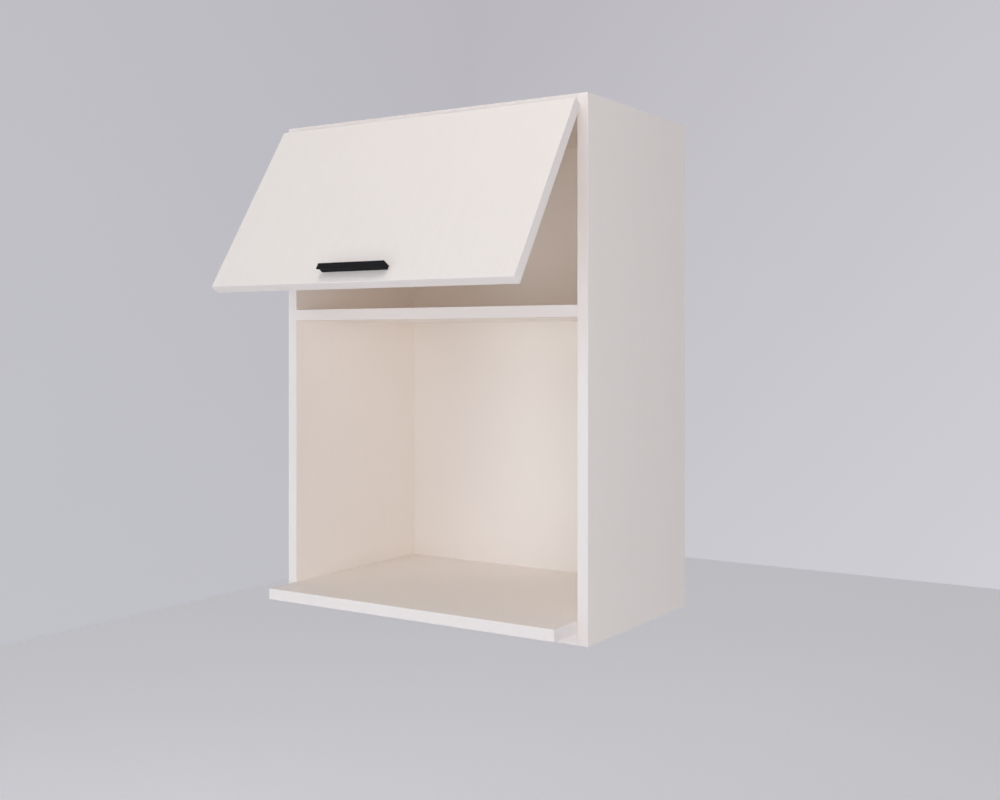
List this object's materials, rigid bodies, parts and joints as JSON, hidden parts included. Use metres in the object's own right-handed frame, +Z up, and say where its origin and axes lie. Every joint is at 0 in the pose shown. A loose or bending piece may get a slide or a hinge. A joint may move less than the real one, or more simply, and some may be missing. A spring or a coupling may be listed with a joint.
{
  "type": "lift up wall cabinet",
  "caption": "Wall-hung kitchen cabinet with a lift-up flap over a closed compartment and an open microwave niche whose shelf stands out in front",
  "frame": {"origin": "the centre of the back board's outer face, which hangs against the wall: mid-width and mid-height of the cabinet", "axes": "+X to the right as seen from the front, -Y out of the front towards the user, +Y into the wall, +Z up"},
  "size_m": [0.52, 0.4791, 0.72],
  "materials": {
    "white_board": "melamine-faced chipboard, white with a fine wood grain",
    "cream_board": "melamine-faced chipboard, warm white",
    "back_board": "painted hardboard",
    "edge_band": "plastic edge band, white",
    "black_metal": "matte black powder coat on extruded aluminium",
    "nickel": "nickel-plated steel",
    "zinc": "zinc-plated steel and zinc die castings",
    "black_screw": "blackened steel",
    "beech": "plain beech",
    "white_plastic": "moulded white plastic"
  },
  "bodies": {
    "carcass": {"left_side_panel": "white_board", "right_side_panel": "white_board", "top_panel": "white_board", "bottom_panel": "white_board", "middle_shelf": "cream_board", "microwave_shelf": "cream_board", "back_panel": "back_board", "carcass_edge_bands": "edge_band", "microwave_shelf_band": "edge_band", "cam_housings": "zinc", "cam_bolts": "zinc", "dowels": "beech", "shelf_screws": "zinc", "back_panel_nails": "zinc", "hanger_body_left": "white_plastic", "hanger_body_right": "white_plastic", "hanger_hook_left": "nickel", "hanger_hook_right": "nickel", "hanger_screws": "nickel", "hinge_plate_left": "nickel", "hinge_plate_right": "nickel", "hinge_arm_left": "nickel", "hinge_arm_right": "nickel", "hinge_plate_screws": "zinc", "hinge_arm_screws": "zinc", "stay_base": "nickel", "stay_base_screws": "zinc"},
    "flap": {"flap_board": "white_board", "flap_edge_band": "edge_band", "handle": "black_metal", "handle_screws": "nickel", "flap_bumpers": "white_plastic", "hinge_cup_left": "nickel", "hinge_cup_right": "nickel", "hinge_cup_screws": "zinc", "stay_flap_bracket": "nickel", "stay_bracket_screws": "zinc"},
    "front_link_left": {"front_link_left": "zinc"},
    "rear_link_left": {"rear_link_left": "zinc"},
    "long_link_left": {"long_link_left": "nickel"},
    "short_link_left": {"short_link_left": "nickel"},
    "front_link_right": {"front_link_right": "zinc"},
    "rear_link_right": {"rear_link_right": "zinc"},
    "long_link_right": {"long_link_right": "nickel"},
    "short_link_right": {"short_link_right": "nickel"},
    "stay_block": {"stay_block": "zinc", "stay_brake_screw": "black_screw"},
    "stay_rod": {"stay_rod": "nickel", "stay_stop_collar": "zinc"}
  },
  "joints": [
    {"name": "flap_lift", "type": "hinge", "parent": "carcass", "child": "flap", "pos_m": [0, -0.3198, 0.3535], "axis": [-1, 0, 0], "range_deg": [-32, 48]},
    {"name": "front_link_left_turn", "type": "hinge", "parent": "carcass", "child": "front_link_left", "pos_m": [-0.162, -0.29948, 0.33894], "axis": [-1, 0, 0], "range_deg": [-32, 48]},
    {"name": "rear_link_left_turn", "type": "hinge", "parent": "carcass", "child": "rear_link_left", "pos_m": [-0.162, -0.287, 0.33], "axis": [-1, 0, 0], "range_deg": [-32, 48]},
    {"name": "long_link_left_turn", "type": "hinge", "parent": "front_link_left", "child": "long_link_left", "pos_m": [-0.162, -0.30302, 0.31399], "axis": [-1, 0, 0], "range_deg": [-48, 32]},
    {"name": "short_link_left_turn", "type": "hinge", "parent": "front_link_left", "child": "short_link_left", "pos_m": [-0.162, -0.30478, 0.30157], "axis": [-1, 0, 0], "range_deg": [-48, 32]},
    {"name": "front_link_right_turn", "type": "hinge", "parent": "carcass", "child": "front_link_right", "pos_m": [0.162, -0.29948, 0.33894], "axis": [-1, 0, 0], "range_deg": [-32, 48]},
    {"name": "rear_link_right_turn", "type": "hinge", "parent": "carcass", "child": "rear_link_right", "pos_m": [0.162, -0.287, 0.33], "axis": [-1, 0, 0], "range_deg": [-32, 48]},
    {"name": "long_link_right_turn", "type": "hinge", "parent": "front_link_right", "child": "long_link_right", "pos_m": [0.162, -0.30302, 0.31399], "axis": [-1, 0, 0], "range_deg": [-48, 32]},
    {"name": "short_link_right_turn", "type": "hinge", "parent": "front_link_right", "child": "short_link_right", "pos_m": [0.162, -0.30478, 0.30157], "axis": [-1, 0, 0], "range_deg": [-48, 32]},
    {"name": "stay_block_turn", "type": "hinge", "parent": "carcass", "child": "stay_block", "pos_m": [-0.231, -0.24002, 0.25884], "axis": [-1, 0, 0], "range_deg": [-16, 24]},
    {"name": "stay_rod_turn", "type": "hinge", "parent": "flap", "child": "stay_rod", "pos_m": [-0.231, -0.35574, 0.23503], "axis": [-1, 0, 0], "range_deg": [-24, 16]}
  ],
  "couplings": [
    {"joint": "front_link_left_turn", "follows": "flap_lift", "ratio": 1},
    {"joint": "rear_link_left_turn", "follows": "flap_lift", "ratio": 1},
    {"joint": "long_link_left_turn", "follows": "flap_lift", "ratio": -1},
    {"joint": "short_link_left_turn", "follows": "flap_lift", "ratio": -1},
    {"joint": "front_link_right_turn", "follows": "flap_lift", "ratio": 1},
    {"joint": "rear_link_right_turn", "follows": "flap_lift", "ratio": 1},
    {"joint": "long_link_right_turn", "follows": "flap_lift", "ratio": -1},
    {"joint": "short_link_right_turn", "follows": "flap_lift", "ratio": -1},
    {"joint": "stay_block_turn", "follows": "flap_lift", "ratio": 0.5},
    {"joint": "stay_rod_turn", "follows": "flap_lift", "ratio": -0.5}
  ]
}
